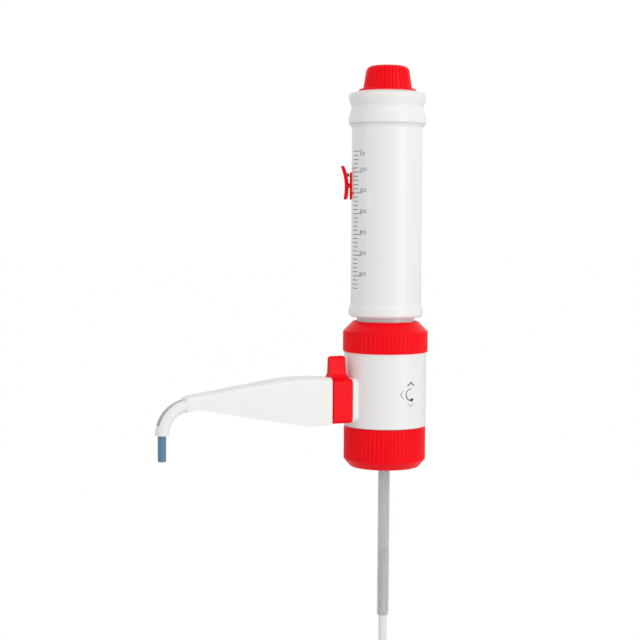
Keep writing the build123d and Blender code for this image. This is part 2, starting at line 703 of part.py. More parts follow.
def upper_collar():
    bore = SPIGOT_R + SLIP
    foot = Z_COLLAR + SLIP
    shelf = Z_GUARD_FLANGE + SLIP
    body = turned([
        (bore, foot),
        (COLLAR_R - 0.5, foot),
        (COLLAR_R, foot + 0.5),
        (COLLAR_R, Z_COLLAR_SIDE - 0.4),
        (COLLAR_R - 0.4, Z_COLLAR_SIDE + 0.4),
        (COLLAR_TOP_R + 0.3, Z_COLLAR_TOP - 0.3),
        (COLLAR_TOP_R - 0.3, Z_COLLAR_TOP),
        (GUARD_R + 3 * PLAY, Z_COLLAR_TOP),
        (GUARD_R + 3 * PLAY, shelf),
        (bore, shelf),
    ])
    return body - flutes(COLLAR_R, FLUTE_DEPTH, FLUTES, FLUTE_R, Z_COLLAR + NUT_RIM, Z_COLLAR_TOP)


def cylinder_guard():
    inner = GUARD_R - GUARD_WALL
    return turned([
        (inner, Z_SPIGOT),
        (GUARD_FLANGE_R, Z_SPIGOT),
        (GUARD_FLANGE_R, Z_GUARD_FLANGE),
        (GUARD_R, Z_GUARD_FLANGE),
        (GUARD_R, GUARD_TOP),
        (inner, GUARD_TOP),
    ])


def guard_ring():
    """Guides the sleeve and stops the slider's plate; the notch lets the plate in when the sleeve is fitted."""
    body = turned([
        (GUARD_R, GUARD_TOP - GUARD_RING_H),
        (SLEEVE_IN_R - PLAY, GUARD_TOP - GUARD_RING_H),
        (SLEEVE_IN_R - PLAY, GUARD_TOP + GUARD_RING_LIP - 0.5),
        (SLEEVE_IN_R - PLAY - 0.5, GUARD_TOP + GUARD_RING_LIP),
        (GUARD_LIP_R, GUARD_TOP + GUARD_RING_LIP),
        (GUARD_LIP_R, GUARD_TOP),
        (GUARD_R, GUARD_TOP),
    ])
    notch_w = PLATE_W + 4 * PLAY
    notch = Box(2 * PLATE_T, notch_w, 4 * GUARD_RING_H, align=(Align.MIN, Align.CENTER, Align.CENTER))
    return body - at_slider(Pos(GUARD_R, 0, GUARD_TOP) * notch)


def glass_cylinder():
    return ring(GLASS_R, GLASS_BORE_R, Z_GLASS, GUARD_TOP - PLAY)


def cylinder_seal():
    return ring(GLASS_R, GLASS_BORE_R, Z_BLOCK, Z_GLASS)


def piston_ring_places():
    low = Z_PISTON + PISTON_RING_INSET
    return (low, Z_PISTON_TOP - PISTON_RING_INSET - PISTON_RING_H)


def piston():
    body = rod(PISTON_R, Z_PISTON, Z_PISTON_TOP)
    body = chamfer(body.edges(), 0.6)
    for low in piston_ring_places():
        body -= ring(PISTON_R + 1, PISTON_R - PISTON_RING_T, low, low + PISTON_RING_H)
    return body - rod(ROD_SCREW_R + SLIP, Z_PISTON + PISTON_FLOOR, Z_PISTON_TOP + 1)


def piston_seals():
    rings = []
    for low in piston_ring_places():
        rings.append(ring(GLASS_BORE_R - RUN_FIT / 2, PISTON_R - PISTON_RING_T, low, low + PISTON_RING_H))
    return Compound(rings)


def rod_top():
    return Z_DIAL_FLANGE + ROD_NUT_H + 1.5


def piston_rod():
    body = rod(ROD_R, Z_PISTON_TOP, Z_CAP_PLATE)
    body += rod(ROD_SCREW_R, Z_PISTON + PISTON_FLOOR, rod_top())
    return body - rod(SPINDLE_R + RUN_FIT, spindle_low() - 1, rod_top() + 1)


def rod_nut():
    return hex_nut(ROD_NUT_FLATS, ROD_SCREW_R + SLIP, Z_DIAL_FLANGE, ROD_NUT_H)


def slider_slot():
    """Cutter for the slot that the slider's neck runs in."""
    high = SCALE_ZERO_Z + NECK_HIGH + PLAY
    low = SCALE_ZERO_Z - SCALE_STROKE - NECK_LOW - PLAY
    plane = Plane(origin=(SLEEVE_IN_R - 3, 0, (high + low) / 2), x_dir=(0, 0, 1), z_dir=(1, 0, 0))
    return at_slider(extrude(plane * SlotOverall(high - low, SLOT_W), 10))


def barrel_sleeve():
    spigot = SLEEVE_IN_R + (SLEEVE_WALL - SLIP) / 2
    lip = GUARD_R + PLAY
    foot = SLEEVE_R - 1.0
    body = make_face([
        Polyline(
            (lip, Z_SLEEVE + SLEEVE_LIP_H), (lip, Z_SLEEVE + 0.6), (lip + 0.6, Z_SLEEVE), (foot, Z_SLEEVE)
        ),
        ThreePointArc((foot, Z_SLEEVE), (BEAD_R - 0.5, Z_SLEEVE + 0.9), (BEAD_R, Z_SLEEVE + 2.4)),
        Line((BEAD_R, Z_SLEEVE + 2.4), (BEAD_R - 0.1, Z_SLEEVE + BEAD_H - 3.4)),
        Spline(
            (BEAD_R - 0.1, Z_SLEEVE + BEAD_H - 3.4),
            (SLEEVE_R, Z_SLEEVE + BEAD_H),
            tangents=[(0, 1), (0, 1)],
        ),
        Polyline(
            (SLEEVE_R, Z_SLEEVE + BEAD_H),
            (SLEEVE_R, Z_CAP - FLARE_H),
            (SLEEVE_R + FLARE_OUT, Z_CAP - 0.6),
            (SLEEVE_R + FLARE_OUT - 0.5, Z_CAP),
            (spigot, Z_CAP),
            (spigot, Z_CAP + SPIGOT_IN_CAP),
            (SLEEVE_IN_R, Z_CAP + SPIGOT_IN_CAP),
            (SLEEVE_IN_R, Z_SLEEVE + SLEEVE_LIP_H),
            (lip, Z_SLEEVE + SLEEVE_LIP_H),
        ),
    ])
    return revolve(Plane.XZ * body, Axis.Z) - slider_slot()


def grip_cap():
    """Hollow finger grip with a waist, closed at the top."""
    spigot = SLEEVE_IN_R + (SLEEVE_WALL - SLIP) / 2 + SLIP
    inner = CAP_WAIST_R - CAP_WALL
    low_rim = Z_CAP + CAP_RIM_H
    high_rim = Z_CAP_TOP - CAP_RIM_H
    body = make_face([
        Line((spigot, Z_CAP), (CAP_R - 0.9, Z_CAP)),
        ThreePointArc((CAP_R - 0.9, Z_CAP), (CAP_R - 0.25, Z_CAP + 0.3), (CAP_R, Z_CAP + 1.1)),
        Line((CAP_R, Z_CAP + 1.1), (CAP_R, low_rim)),
        Spline(
            (CAP_R, low_rim),
            (CAP_WAIST_R, (low_rim + high_rim) / 2),
            (CAP_R, high_rim),
            tangents=[(0, 1), (0, 1)],
        ),
        ThreePointArc(
            (CAP_R, high_rim),
            (CAP_R - 0.7, Z_CAP_TOP - CAP_SLOPE - 0.7),
            (CAP_R - 2.6, Z_CAP_TOP - CAP_SLOPE),
        ),
        Polyline(
            (CAP_R - 2.6, Z_CAP_TOP - CAP_SLOPE),
            (DIAL_FLANGE_R, Z_CAP_TOP),
            (ROD_SCREW_R + SLIP, Z_CAP_TOP),
            (ROD_SCREW_R + SLIP, Z_CAP_PLATE),
            (inner, Z_CAP_PLATE),
            (inner, Z_CAP + SPIGOT_IN_CAP + PLAY),
            (spigot, Z_CAP + SPIGOT_IN_CAP + PLAY),
            (spigot, Z_CAP),
        ),
    ])
    return revolve(Plane.XZ * body, Axis.Z)


def knob_flange():
    body = ring(DIAL_FLANGE_R, ROD_SCREW_R + SLIP, Z_CAP_TOP, Z_DIAL_FLANGE)
    rims = body.edges().filter_by(GeomType.CIRCLE).group_by(Axis.Z)[-1]
    return chamfer(rims.sort_by(SortBy.RADIUS)[-1], 0.4)


def calibration_knob():
    shoulder = Z_DIAL_TOP - DIAL_SHOULDER_H
    inner = DIAL_SHOULDER_R - DIAL_WALL
    roof = Z_DIAL_TOP - DIAL_WALL
    body = make_face([
        Line((DIAL_BASE_R, Z_DIAL), (DIAL_SHOULDER_R, shoulder)),
        ThreePointArc(
            (DIAL_SHOULDER_R, shoulder),
            (DIAL_SHOULDER_R - 1.5, Z_DIAL_TOP - 1.3),
            (DIAL_TOP_R, Z_DIAL_TOP - 0.3),
        ),
        Polyline(
            (DIAL_TOP_R, Z_DIAL_TOP - 0.3),
            (0, Z_DIAL_TOP),
            (0, roof),
            (inner - 1.5, roof),
            (inner, roof - 1.5),
            (inner, Z_DIAL),
            (DIAL_BASE_R, Z_DIAL),
        ),
    ])
    knob = revolve(Plane.XZ * body, Axis.Z)
    lean = math.degrees(math.atan((DIAL_BASE_R - DIAL_SHOULDER_R) / (shoulder - Z_DIAL)))
    low = Z_DIAL - 0.1
    return knob - flutes(DIAL_BASE_R, DIAL_FLUTE_DEPTH, DIAL_FLUTES, DIAL_FLUTE_R, low, Z_DIAL_TOP, lean)


def spindle_low():
    return Z_DIAL_TOP - DIAL_WALL - SPINDLE_L


def calibration_spindle():
    body = rod(SPINDLE_R, spindle_low(), Z_DIAL_TOP - DIAL_WALL)
    return body + rod(2 * SPINDLE_R, Z_DIAL_TOP - DIAL_WALL - SPINDLE_SHOULDER, Z_DIAL_TOP - DIAL_WALL)


def sector(r_out, r_in, width, z_low, z_high):
    """Piece of a ring, of a given width, on the +X side."""
    align = (Align.MIN, Align.CENTER, Align.MIN)
    bar = Pos(r_in / 2, 0, z_low) * Box(r_out, width, z_high - z_low, align=align)
    return ring(r_out, r_in, z_low, z_high) & bar


def across(radius, x, z, length):
    """A cylinder across the slider, along Y."""
    return Pos(x, 0, z) * Rot(90, 0, 0) * Cylinder(radius, length)


def screw_places():
    return (POINTER_Z - SCREW_LOW, POINTER_Z + SCREW_HIGH)


def outward(radius, x_low, x_high, z):
    """A cylinder on the +X side that points outward."""
    return Pos(x_low, 0, z) * Rot(0, 90, 0) * Cylinder(
        radius, x_high - x_low, align=(Align.CENTER, Align.CENTER, Align.MIN)
    )


def slider_carriage():
    """Outer plate, the neck through the slot, two ears for the lever and the pointer over the scale."""
    face = SLEEVE_R + PLAY
    back = face + CARRIAGE_T
    body = sector(back, face, CARRIAGE_W, POINTER_Z - CARRIAGE_LOW, POINTER_Z + CARRIAGE_HIGH)
    neck_z = POINTER_Z + (NECK_HIGH - NECK_LOW) / 2
    neck_plane = Plane(origin=(SLEEVE_IN_R / 2, 0, neck_z), x_dir=(0, 0, 1), z_dir=(1, 0, 0))
    outline = SlotOverall(NECK_LOW + NECK_HIGH, SLOT_W - 2 * PLAY)
    neck = extrude(neck_plane * outline, face - SLEEVE_IN_R / 2 + CARRIAGE_T / 2)
    body += neck - rod(SLEEVE_IN_R - PLAY, 0, Z_CAP)
    pivot_x = SLEEVE_R + PIVOT_OUT
    pivot_z = POINTER_Z + PIVOT_RISE
    ear_middle = LEVER_WAIST_W / 2 + PLAY / 2 + EAR_T / 2
    for side in (-1, 1):
        web = Pos(face + CARRIAGE_T / 2, 0, pivot_z) * Box(
            pivot_x - face - CARRIAGE_T / 2, EAR_T, 2 * EAR_R, align=(Align.MIN, Align.CENTER, Align.CENTER)
        )
        body += Pos(0, side * ear_middle, 0) * (web + across(EAR_R, pivot_x, pivot_z, EAR_T))
    body -= across(PIN_R, pivot_x, pivot_z, CARRIAGE_W)
    for z in screw_places():
        body -= outward(SCREW_R, SLEEVE_IN_R - 2, back + 1, z)
        body -= outward(SCREW_HEAD_R, back - SCREW_HEAD_T, back + 1, z)
    reach = SLEEVE_R * math.sin(math.radians(POINTER_TURN))
    outline = make_face([
        Polyline((reach, 0), (CARRIAGE_W / 2 - 1, 1.5), (CARRIAGE_W / 2 - 1, -3.2)),
        ThreePointArc((CARRIAGE_W / 2 - 1, -3.2), (0.72 * reach, -1.0), (reach, 0)),
    ])
    plane = Plane(origin=(SLEEVE_R - 5, 0, POINTER_Z), x_dir=(0, 1, 0), z_dir=(1, 0, 0))
    return body + (extrude(plane * outline, 10) & ring(back, face, POINTER_Z - 5, POINTER_Z + 5))


def slider_plate():
    """Inner plate that clamps the slider to the sleeve and is the stop under the guide ring."""
    outer = SLEEVE_IN_R - PLAY
    body = sector(outer, outer - PLATE_T, PLATE_W, POINTER_Z - PLATE_LOW, POINTER_Z + PLATE_HIGH)
    for z in screw_places():
        body -= outward(SCREW_R, outer - PLATE_T - 1, outer + 1, z)
    return body


def slider_screws():
    screws = []
    back = SLEEVE_R + PLAY + CARRIAGE_T
    for z in screw_places():
        shank = outward(SCREW_R, SLEEVE_IN_R - PLAY - PLATE_T, back - SCREW_HEAD_T, z)
        head = outward(SCREW_HEAD_R, back - SCREW_HEAD_T, back, z)
        drive = Pos(back, 0, z) * Box(SCREW_HEAD_T, 2 * SCREW_HEAD_R, 0.4)
        screws.append(shank + head - drive)
    return at_slider(Compound(screws))


def release_lever():
    """Saddle-shaped finger lever, narrower at its pin."""
    pivot_x = SLEEVE_R + PIVOT_OUT
    pivot_z = POINTER_Z + PIVOT_RISE
    top = POINTER_Z + LEVER_TOP
    low = POINTER_Z - LEVER_LOW
    outline = make_face([
        ThreePointArc(
            (SLEEVE_R + LEVER_TOP_OUT, top), (SLEEVE_R + LEVER_MID_OUT, pivot_z), (SLEEVE_R + LEVER_LOW_OUT, low)
        ),
        Line((SLEEVE_R + LEVER_LOW_OUT, low), (SLEEVE_R + LEVER_LOW_OUT - LEVER_T, low + 0.9)),
        ThreePointArc(
            (SLEEVE_R + LEVER_LOW_OUT - LEVER_T, low + 0.9),
            (SLEEVE_R + LEVER_MID_OUT - LEVER_T, pivot_z),
            (SLEEVE_R + LEVER_TOP_OUT - LEVER_T, top - 0.5),
        ),
        Line((SLEEVE_R + LEVER_TOP_OUT - LEVER_T, top - 0.5), (SLEEVE_R + LEVER_TOP_OUT, top)),
    ])
    lever = extrude(Plane.XZ * outline, LEVER_W / 2, both=True)
    ends = lever.edges().filter_by(Axis.Y)
    lever = fillet(ends, 0.7)
    for side in (-1, 1):
        align = (Align.CENTER, Align.MIN, Align.CENTER)
        notch = Box(4 * LEVER_T, LEVER_W, 2 * EAR_R + 6 * PLAY, align=align)
        lever -= Pos(pivot_x, 0, pivot_z) * Rot(0, 0, 90 - 90 * side) * Pos(0, LEVER_WAIST_W / 2, 0) * notch
    pocket_r = LEVER_SPRING_R + SPRING_WIRE_R + PLAY / 2
    lever -= outward(pocket_r, SLEEVE_R, SLEEVE_R + SPRING_SEAT_OUT, POINTER_Z + SPRING_RISE)
    lever += across(EAR_R, pivot_x, pivot_z, LEVER_WAIST_W)
    return lever - across(PIN_R + RUN_FIT, pivot_x, pivot_z, LEVER_W)


def lever_pin():
    length = LEVER_WAIST_W + PLAY + 2 * EAR_T
    return across(PIN_R, SLEEVE_R + PIVOT_OUT, POINTER_Z + PIVOT_RISE, length)


def lever_spring():
    """Coil between the carriage and the pocket at the upper end of the lever."""
    low = SLEEVE_R + PLAY + CARRIAGE_T + SPRING_WIRE_R
    high = SLEEVE_R + SPRING_SEAT_OUT - SPRING_WIRE_R - TOUCH
    spring = coil(LEVER_SPRING_R, high - low, LEVER_SPRING_TURNS)
    return Pos(low, 0, POINTER_Z + SPRING_RISE) * Rot(0, 90, 0) * spring


def main():
    os.makedirs("parts", exist_ok=True)
    makers = [
        bottle_collar,
        bottle_gasket,
        seat_flange,
        valve_housing,
        valve_block,
        vent_plug,
        filling_valve_seat,
        filling_ball,
        filling_ball_cage,
        filling_tube_upper,
        filling_tube_lower,
        outlet_pipe,
        valve_plug,
        plug_seals,
        discharge_valve_seat,
        discharge_ball,
        discharge_spring,
        valve_knob,
        nozzle_cover,
        nozzle_nut,
        discharge_tube,
        upper_collar,
        cylinder_guard,
        guard_ring,
        glass_cylinder,
        cylinder_seal,
        piston,
        piston_seals,
        piston_rod,
        rod_nut,
        barrel_sleeve,
        grip_cap,
        knob_flange,
        calibration_knob,
        calibration_spindle,
    ]
    side_makers = [slider_carriage, slider_plate, release_lever, lever_pin, lever_spring]
    for make in makers:
        export_step(make(), f"parts/{make.__name__}.step")
    for make in side_makers:
        export_step(at_slider(make()), f"parts/{make.__name__}.step")
    export_step(slider_screws(), "parts/slider_screws.step")


main()
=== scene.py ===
# %% [markdown]
# # A bottle-top dispenser, dressed for its picture
# The solids of this hand pump come from CAD and are a fixed frame here. The script gives each of them the
# finish of its real plastic, glass or steel, and adds what CAD leaves out: the thread in the union nut, the
# printed scale and its figures, and the arrows that show how the valve knob turns. The frame is loaded first,
# because everything else is placed from it.

import json
import math

import bpy
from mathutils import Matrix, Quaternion, Vector


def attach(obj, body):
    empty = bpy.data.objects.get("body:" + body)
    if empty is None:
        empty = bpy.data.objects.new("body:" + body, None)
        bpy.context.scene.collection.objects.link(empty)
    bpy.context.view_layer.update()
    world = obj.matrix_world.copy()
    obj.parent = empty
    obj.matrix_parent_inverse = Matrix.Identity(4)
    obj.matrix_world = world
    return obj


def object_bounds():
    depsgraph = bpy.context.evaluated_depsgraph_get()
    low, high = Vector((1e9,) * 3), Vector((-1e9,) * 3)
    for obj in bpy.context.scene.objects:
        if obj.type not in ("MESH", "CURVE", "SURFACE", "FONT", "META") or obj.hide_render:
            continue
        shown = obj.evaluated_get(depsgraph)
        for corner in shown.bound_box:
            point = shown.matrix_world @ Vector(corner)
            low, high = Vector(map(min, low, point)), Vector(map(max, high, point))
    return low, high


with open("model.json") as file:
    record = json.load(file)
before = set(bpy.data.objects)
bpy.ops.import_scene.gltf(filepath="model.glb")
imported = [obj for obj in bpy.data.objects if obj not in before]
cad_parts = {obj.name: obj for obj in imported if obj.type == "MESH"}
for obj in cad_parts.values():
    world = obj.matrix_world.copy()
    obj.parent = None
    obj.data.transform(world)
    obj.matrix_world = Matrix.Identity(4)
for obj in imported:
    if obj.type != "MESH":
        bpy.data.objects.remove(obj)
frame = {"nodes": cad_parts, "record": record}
cad_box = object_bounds()
MM = 0.001

# %% [markdown]
# ## Three small helpers
# Colours are written as sRGB hex, as a colour chart gives them, but shaders work in linear light, so one
# function converts them. A second adds a node and either links or sets its inputs, which keeps each tree
# short enough to read. Noise is scaled in cycles per metre, and a real grain size in millimetres is easier
# to judge, so a third turns one into the other.

# %% Colour, node and scale helpers
def linear(hex_colour):
    channels = [int(hex_colour[i:i + 2], 16) / 255 for i in (1, 3, 5)]
    return tuple(c / 12.92 if c <= 0.04045 else ((c + 0.055) / 1.055) ** 2.4 for c in channels) + (1.0,)


def add_node(tree, kind, inputs=None, **settings):
    node = tree.nodes.new(kind)
    for name, value in settings.items():
        setattr(node, name, value)
    for key, value in (inputs or {}).items():
        if isinstance(value, bpy.types.NodeSocket):
            tree.links.new(value, node.inputs[key])
        else:
            node.inputs[key].default_value = value
    return node


def per_metre(grain_mm):
    return 1 / (grain_mm * MM)


print("mid grey is", round(linear("#808080")[0], 3), "in linear light")

# %% [markdown]
# ## Camera
# The camera stands a metre away, about as high as the middle of the barrel and 60 degrees round from the way
# the nozzle points. A long lens keeps the upright edges nearly parallel. The camera is aimed left of the main
# axis, because the nozzle takes up room there.

# %% Camera
CAMERA_TURN = math.radians(240)
CAMERA_DISTANCE = 1.0
CAMERA_HEIGHT = 146.5 * MM
AIM_LEFT = 45.0 * MM
AIM_HEIGHT = 81.5 * MM
LENS_MM = 82.0
ROLL = math.radians(0.38)

toward_camera = Vector((math.cos(CAMERA_TURN), math.sin(CAMERA_TURN), 0))
picture_left = Vector((math.sin(CAMERA_TURN), -math.cos(CAMERA_TURN), 0))
camera_data = bpy.data.cameras.new("camera")
camera_data.lens = LENS_MM
camera_data.clip_end = 60
camera = bpy.data.objects.new("camera", camera_data)
bpy.context.scene.collection.objects.link(camera)
camera.location = toward_camera * CAMERA_DISTANCE + Vector((0, 0, CAMERA_HEIGHT))
aim = picture_left * AIM_LEFT + Vector((0, 0, AIM_HEIGHT))
look = (aim - camera.location).to_track_quat("-Z", "Y")
camera.rotation_mode = "QUATERNION"
camera.rotation_quaternion = look @ Quaternion((0, 0, 1), ROLL)
bpy.context.scene.camera = camera
print("camera at", [round(v, 3) for v in camera.location])

# %% [markdown]
# ## Light and background
# The object stands in a white studio tent. The world gives even light from all round, a large softbox on the
# right makes that side of the barrel brighter, and a weaker one on the left fills the shadows. The white
# background is only what the camera, reflections and clear pieces see of the world. The light that falls on
# the plastic stays at a plain level, so its colours come out nearly as they are written.

# %% World
TENT_LIGHT = 0.60

world = bpy.data.worlds.new("studio tent")
world.use_nodes = True
bpy.context.scene.world = world
tree = world.node_tree
tree.nodes.clear()
ray = add_node(tree, "ShaderNodeLightPath")
seen = add_node(tree, "ShaderNodeMath", {0: ray.outputs["Is Camera Ray"], 1: ray.outputs["Is Glossy Ray"]},
                operation="MAXIMUM")
seen = add_node(tree, "ShaderNodeMath", {0: seen.outputs[0], 1: ray.outputs["Is Transmission Ray"]},
                operation="MAXIMUM")
dim = add_node(tree, "ShaderNodeBackground", {"Color": linear("#FFFFFF"), "Strength": TENT_LIGHT})
bright = add_node(tree, "ShaderNodeBackground", {"Color": linear("#FFFFFF"), "Strength": 1.0})
mixed = add_node(tree, "ShaderNodeMixShader", {0: seen.outputs[0], 1: dim.outputs[0], 2: bright.outputs[0]})
add_node(tree, "ShaderNodeOutputWorld", {"Surface": mixed.outputs[0]})
bpy.context.scene.view_settings.view_transform = "Standard"
print("tent light:", TENT_LIGHT)

# %% Softboxes
LAMP_AIM = Vector((0, 0, 0.12))


def softbox(name, turn_deg, distance, height, size, watts):
    """An area lamp that faces the barrel."""
    lamp_data = bpy.data.lights.new(name, "AREA")
    lamp_data.shape = "RECTANGLE"
    lamp_data.size, lamp_data.size_y = size
    lamp_data.energy = watts
    lamp = bpy.data.objects.new(name, lamp_data)
    bpy.context.scene.collection.objects.link(lamp)
    turn = math.radians(turn_deg)
    lamp.location = (distance * math.cos(turn), distance * math.sin(turn), height)
    lamp.rotation_euler = (LAMP_AIM - lamp.location).to_track_quat("-Z", "Y").to_euler()


softbox("right softbox", turn_deg=290, distance=1.7, height=0.5, size=(0.9, 1.6), watts=11.0)
softbox("left softbox", turn_deg=180, distance=1.8, height=0.4, size=(0.7, 1.4), watts=3.0)
softbox("top softbox", turn_deg=250, distance=1.2, height=1.3, size=(0.8, 0.8), watts=2.2)

# %% [markdown]
# ## Floor
# The dispenser is held by a bottle's neck, so its filling tube ends above the floor. The sheet glows white to
# the camera, with almost no shadow, as the photograph's background has none. To every other ray it is plain
# white paper.

# %% Floor
FLOOR_DROP = 1.0 * MM
FLOOR_HALF = 20.0
SHADOWLESS_SHARE = 0.99

floor_z = cad_box[0][2] - FLOOR_DROP
corners = [(FLOOR_HALF * x, FLOOR_HALF * y) for x, y in ((-1, -1), (1, -1), (1, 1), (-1, 1))]
floor_mesh = bpy.data.meshes.new("floor")
floor_mesh.from_pydata([(x, y, floor_z) for x, y in corners], [], [(0, 1, 2, 3)])
floor = bpy.data.objects.new("floor", floor_mesh)
bpy.context.scene.collection.objects.link(floor)
sheet = bpy.data.materials.new("white studio sheet")
sheet.use_nodes = True
tree = sheet.node_tree
tree.nodes.clear()
ray = add_node(tree, "ShaderNodeLightPath")
share = add_node(tree, "ShaderNodeMath", {0: ray.outputs["Is Camera Ray"], 1: SHADOWLESS_SHARE},
                 operation="MULTIPLY")
paper = add_node(tree, "ShaderNodeBsdfDiffuse", {"Color": linear("#F4F4F4")})
glow = add_node(tree, "ShaderNodeEmission", {"Color": linear("#FFFFFF"), "Strength": 1.0})
mixed = add_node(tree, "ShaderNodeMixShader", {0: share.outputs[0], 1: paper.outputs[0], 2: glow.outputs[0]})
add_node(tree, "ShaderNodeOutputMaterial", {"Surface": mixed.outputs[0]})
floor_mesh.materials.append(sheet)
print("floor at", round(floor_z, 4))

# %% [markdown]
# ## Moulded plastics
# Most of the pump is injection-moulded ABS: hard, glossy and evenly coloured. A real moulding is never quite
# even. The colour drifts a little where the melt flowed, the polish of the steel mould varies, and the skin
# has a faint orange peel. Each plastic here mixes two close colours with a large noise, varies its roughness
# with another and has a bump a few microns high. All of them use Object coordinates, which are metres.

# %% Moulded plastic
FLOW_MM = 35.0
POLISH_MM = 9.0
NOISE_LOW = 0.3
NOISE_HIGH = 0.7


def new_material(name):
    material = bpy.data.materials.new(name)
    material.use_nodes = True
    material.node_tree.nodes.clear()
    return material


def moulded_plastic(name, colour, flow_colour, roughness, peel_mm, peel_height_mm, **shader):
    """Two close colours in slow drifts, uneven polish and a shallow peel; shader holds further sockets."""
    material = new_material(name)
    tree = material.node_tree
    place = add_node(tree, "ShaderNodeTexCoord").outputs["Object"]
    flow = add_node(tree, "ShaderNodeTexNoise", {"Vector": place, "Scale": per_metre(FLOW_MM), "Detail": 3.0})
    tint = add_node(tree, "ShaderNodeMix", {0: flow.outputs[0], 6: linear(colour), 7: linear(flow_colour)},
                    data_type="RGBA")
    polish = add_node(tree, "ShaderNodeTexNoise", {
        "Vector": place, "Scale": per_metre(POLISH_MM), "Detail": 4.0,
    })
    rough = add_node(tree, "ShaderNodeMapRange", {
        "Value": polish.outputs[0], "From Min": NOISE_LOW, "From Max": NOISE_HIGH,
        "To Min": roughness[0], "To Max": roughness[1],
    })
    peel = add_node(tree, "ShaderNodeTexNoise", {"Vector": place, "Scale": per_metre(peel_mm), "Detail": 1.0})
    bump = add_node(tree, "ShaderNodeBump", {"Height": peel.outputs[0], "Distance": peel_height_mm * MM})
    body = add_node(tree, "ShaderNodeBsdfPrincipled", {
        "Base Color": tint.outputs[2], "Roughness": rough.outputs[0], "Normal": bump.outputs[0],
    })
    for socket, value in shader.items():
        body.inputs[socket.replace("_", " ")].default_value = value
    add_node(tree, "ShaderNodeOutputMaterial", {"Surface": body.outputs[0]})
    return material


# Red ABS of the nuts, knobs and slider: strong colour, and a weaker gloss than the white parts show
red_abs = moulded_plastic("red ABS, moulded", "#FF0519", "#F60314", (0.30, 0.36), 1.4, 0.003,
                          IOR=1.50, Specular_IOR_Level=0.12)
# White ABS of the barrel, grip, valve housing and nozzle: bright, slightly cool, softly glossy
white_abs = moulded_plastic("white ABS, moulded", "#F1F1EF", "#EEEFEE", (0.28, 0.34), 1.6, 0.0025,
                            IOR=1.50, Specular_IOR_Level=0.45)
# Natural polypropylene of the inner pieces: waxy, milky and without added colour
natural_pp = moulded_plastic("natural polypropylene, moulded", "#E2E1DB", "#DAD9D2", (0.45, 0.55), 1.2, 0.008,
                             IOR=1.49, Subsurface_Weight=0.15, Subsurface_Scale=0.002)
# Pale polycarbonate of the guide tube, harder and shinier than the inner plastic
pale_pc = moulded_plastic("pale polycarbonate, moulded", "#DDE1E1", "#D6DBDB", (0.18, 0.25), 1.8, 0.004,
                          IOR=1.58)
print("plastics:", red_abs.name, "|", white_abs.name, "|", natural_pp.name, "|", pale_pc.name)

# %% [markdown]
# ## Turned and extruded pieces
# The piston and its rod are turned PTFE, and the rod's nut, the screws, the springs and the spindle are
# stainless steel. The tool leaves rings round the axis, which spread the gloss. Tubes are extruded
# fluoropolymer, and the die leaves faint lines along them. A wave texture makes the rings, and noise that is
# stretched along the tube makes the die lines. Both are drawn much coarser than the real ones, so that they
# show.

# %% Turned finishes
RING_SPACING_MM = 3.77
WAVE_PHASE = 20     # radians that the wave texture turns through in a unit at scale 1


def turned_finish(name, colour, roughness, groove_mm, **shader):
    """Rings across Z from the lathe, with a slow change of polish."""
    material = new_material(name)
    tree = material.node_tree
    place = add_node(tree, "ShaderNodeTexCoord").outputs["Object"]
    rings = add_node(tree, "ShaderNodeTexWave", {
        "Vector": place, "Scale": math.tau / WAVE_PHASE * per_metre(RING_SPACING_MM),
        "Distortion": 0.4, "Detail": 1.0,
    }, wave_type="BANDS", bands_direction="Z")
    bump = add_node(tree, "ShaderNodeBump", {"Height": rings.outputs[1], "Distance": groove_mm * MM})
    polish = add_node(tree, "ShaderNodeTexNoise", {"Vector": place, "Scale": per_metre(POLISH_MM)})
    rough = add_node(tree, "ShaderNodeMapRange", {
        "Value": polish.outputs[0], "To Min": roughness[0], "To Max": roughness[1],
    })
    body = add_node(tree, "ShaderNodeBsdfPrincipled", {
        "Base Color": linear(colour), "Roughness": rough.outputs[0], "Normal": bump.outputs[0],
    })
    for socket, value in shader.items():
        body.inputs[socket.replace("_", " ")].default_value = value
    add_node(tree, "ShaderNodeOutputMaterial", {"Surface": body.outputs[0]})
    return material


# PTFE: chalk white and waxy, with the lowest IOR of the plastics here
turned_ptfe = turned_finish("PTFE, turned", "#EDECE7", (0.42, 0.5), 0.01, IOR=1.38)
# Stainless steel: grey mirror broken up by the lathe's rings
turned_steel = turned_finish("stainless steel, turned", "#C6C7C8", (0.24, 0.34), 0.004, Metallic=1.0)
print("turned:", turned_ptfe.name, "|", turned_steel.name)

# %% Extruded tubes
DIE_LINE_MM = 0.8
DIE_STRETCH = 40.0
DIE_DEPTH = 0.006 * MM


def extruded_tube(name, colour, roughness, transmission):
    """Fluoropolymer with die lines that run up and down the tube."""
    material = new_material(name)
    tree = material.node_tree
    place = add_node(tree, "ShaderNodeTexCoord").outputs["Object"]
    long = add_node(tree, "ShaderNodeMapping", {"Vector": place, "Scale": (1, 1, 1 / DIE_STRETCH)})
    lines = add_node(tree, "ShaderNodeTexNoise", {"Vector": long.outputs[0], "Scale": per_metre(DIE_LINE_MM)})
    bump = add_node(tree, "ShaderNodeBump", {"Height": lines.outputs[0], "Distance": DIE_DEPTH})
    rough = add_node(tree, "ShaderNodeMapRange", {
        "Value": lines.outputs[0], "To Min": roughness[0], "To Max": roughness[1],
    })
    body = add_node(tree, "ShaderNodeBsdfPrincipled", {
        "Base Color": linear(colour), "Roughness": rough.outputs[0], "Normal": bump.outputs[0],
        "IOR": 1.34, "Transmission Weight": transmission,
    })
    add_node(tree, "ShaderNodeOutputMaterial", {"Surface": body.outputs[0]})
    return material


